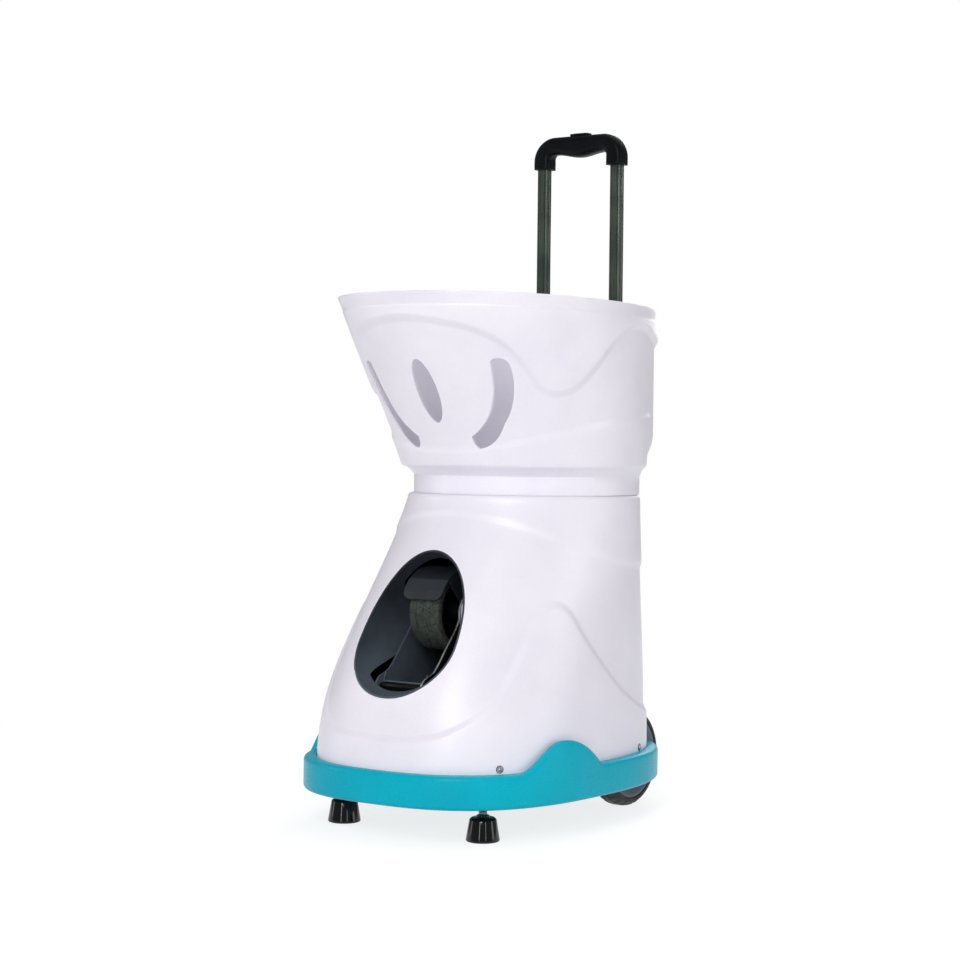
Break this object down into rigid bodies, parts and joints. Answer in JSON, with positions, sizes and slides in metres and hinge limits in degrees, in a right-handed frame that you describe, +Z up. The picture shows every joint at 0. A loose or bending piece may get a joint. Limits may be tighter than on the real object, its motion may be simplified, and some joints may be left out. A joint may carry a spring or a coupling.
{
  "type": "pickleball machine",
  "caption": "Wheeled ball-feeding machine: a slotted hopper over a rounded body, a carousel feeder, two throwing wheels behind an oval mouth, and a telescoping pull handle.",
  "frame": {"origin": "on the ground, under the middle of the bounding box", "axes": "+Z up, the mouth faces -Y, the road wheels and the handle are at +Y, +X is the machine's left side seen from behind it"},
  "size_m": [0.428, 0.548, 1.018],
  "materials": {
    "shell_white": "satin white ABS moulding",
    "tray_teal": "satin teal ABS moulding",
    "black_plastic": "fine-textured black plastic",
    "rubber_black": "matt black rubber",
    "tyre_black": "treaded black rubber",
    "grey_plastic": "blue-grey moulded plastic",
    "anodised": "black anodised extrusion",
    "steel": "brushed zinc-plated steel",
    "liner": "dark textured plastic",
    "tread": "ribbed dark grey foam rubber",
    "gear_nylon": "natural nylon"
  },
  "bodies": {
    "chassis": {"base_tray": "tray_teal", "body_shell": "shell_white", "mouth_liner": "liner", "wheel_axle": "steel", "handle_bracket": "steel", "outer_tube_left": "steel", "outer_tube_right": "steel", "outer_collar_left": "black_plastic", "outer_collar_right": "black_plastic", "feeder_bowl": "black_plastic", "feed_motor": "steel", "feed_chute": "black_plastic", "turntable_bearing": "steel", "yaw_motor": "steel", "battery_pack": "black_plastic", "control_box": "black_plastic", "rear_panel": "black_plastic", "charge_socket": "black_plastic"},
    "hopper": {"hopper_shell": "shell_white"},
    "handle_stage": {"middle_tube_left": "anodised", "middle_tube_right": "anodised", "middle_collar_left": "black_plastic", "middle_collar_right": "black_plastic"},
    "handle_top": {"inner_tube_left": "anodised", "inner_tube_right": "anodised", "handle_grip": "black_plastic"},
    "release_button": {"release_button": "black_plastic"},
    "foot_left": {"levelling_foot_left": "rubber_black"},
    "foot_right": {"levelling_foot_right": "rubber_black"},
    "wheel_left": {"road_wheel_rim_left": "grey_plastic", "tyre_left": "tyre_black"},
    "wheel_right": {"road_wheel_rim_right": "grey_plastic", "tyre_right": "tyre_black"},
    "carousel": {"feed_carousel": "grey_plastic"},
    "turntable": {"yaw_frame": "black_plastic", "yaw_gear": "gear_nylon", "pivot_pin_left": "steel", "pivot_pin_right": "steel", "pitch_motor": "steel"},
    "yaw_pinion": {"yaw_pinion": "gear_nylon"},
    "head": {"side_plate_left": "steel", "side_plate_right": "steel", "tie_rod_1": "steel", "tie_rod_2": "steel", "tie_rod_3": "steel", "guide_trough": "liner", "wheel_hood": "liner", "throw_motor_upper": "steel", "throw_motor_lower": "steel", "pitch_sector": "gear_nylon"},
    "pitch_pinion": {"pitch_pinion": "gear_nylon"},
    "throw_wheel_upper": {"throw_hub_upper": "black_plastic", "throw_tread_upper": "tread"},
    "throw_wheel_lower": {"throw_hub_lower": "black_plastic", "throw_tread_lower": "tread"},
    "power_button": {"power_button": "grey_plastic"},
    "charge_cap": {"charge_cap": "black_plastic"}
  },
  "joints": [
    {"name": "hopper_lift", "type": "slide", "parent": "chassis", "child": "hopper", "axis": [0, 0, 1], "range_m": [0, 0.3]},
    {"name": "handle_lower_stage", "type": "slide", "parent": "chassis", "child": "handle_stage", "axis": [0, 0, 1], "range_m": [-0.245, 0]},
    {"name": "handle_upper_stage", "type": "slide", "parent": "handle_stage", "child": "handle_top", "axis": [0, 0, 1], "range_m": [-0.222, 0]},
    {"name": "handle_release", "type": "slide", "parent": "handle_top", "child": "release_button", "axis": [0, 0, -1], "range_m": [0, 0.003], "stiffness_N_per_m": 600, "springref_m": -0.002},
    {"name": "foot_screw_left", "type": "hinge", "parent": "chassis", "child": "foot_left", "pos_m": [0.122, -0.176, 0], "axis": [0, 0, 1], "continuous": true},
    {"name": "foot_screw_right", "type": "hinge", "parent": "chassis", "child": "foot_right", "pos_m": [-0.122, -0.176, 0], "axis": [0, 0, 1], "continuous": true},
    {"name": "road_wheel_left", "type": "hinge", "parent": "chassis", "child": "wheel_left", "pos_m": [0.111, 0.194, 0.073], "axis": [1, 0, 0], "continuous": true},
    {"name": "road_wheel_right", "type": "hinge", "parent": "chassis", "child": "wheel_right", "pos_m": [-0.111, 0.194, 0.073], "axis": [1, 0, 0], "continuous": true},
    {"name": "carousel_turn", "type": "hinge", "parent": "chassis", "child": "carousel", "pos_m": [0, 0.08, 0.445], "axis": [0, 0, 1], "continuous": true},
    {"name": "head_yaw", "type": "hinge", "parent": "chassis", "child": "turntable", "pos_m": [0, -0.07, 0.07], "axis": [0, 0, 1], "range_deg": [-6, 6]},
    {"name": "yaw_pinion_turn", "type": "hinge", "parent": "chassis", "child": "yaw_pinion", "pos_m": [0, 0.00515, 0.07], "axis": [0, 0, 1], "range_deg": [-24, 24]},
    {"name": "head_pitch", "type": "hinge", "parent": "turntable", "child": "head", "pos_m": [0, -0.07, 0.192], "axis": [-1, 0, 0], "range_deg": [-6, 4]},
    {"name": "pitch_pinion_turn", "type": "hinge", "parent": "turntable", "child": "pitch_pinion", "pos_m": [-0.05, 0.00515, 0.192], "axis": [-1, 0, 0], "range_deg": [-16, 24]},
    {"name": "throw_upper_spin", "type": "hinge", "parent": "head", "child": "throw_wheel_upper", "pos_m": [0, -0.10163, 0.30164], "axis": [1, 0, 0], "continuous": true},
    {"name": "throw_lower_spin", "type": "hinge", "parent": "head", "child": "throw_wheel_lower", "pos_m": [0, -0.17432, 0.14575], "axis": [1, 0, 0], "continuous": true},
    {"name": "power_press", "type": "slide", "parent": "chassis", "child": "power_button", "axis": [0, -1, 0], "range_m": [0, 0.0025], "stiffness_N_per_m": 500, "springref_m": -0.002},
    {"name": "charge_cap_hinge", "type": "hinge", "parent": "chassis", "child": "charge_cap", "pos_m": [0.0365, 0.2621, 0.3], "axis": [0, 0, -1], "range_deg": [0, 100]}
  ],
  "couplings": [
    {"joint": "yaw_pinion_turn", "follows": "head_yaw", "ratio": -4},
    {"joint": "pitch_pinion_turn", "follows": "head_pitch", "ratio": -4}
  ]
}
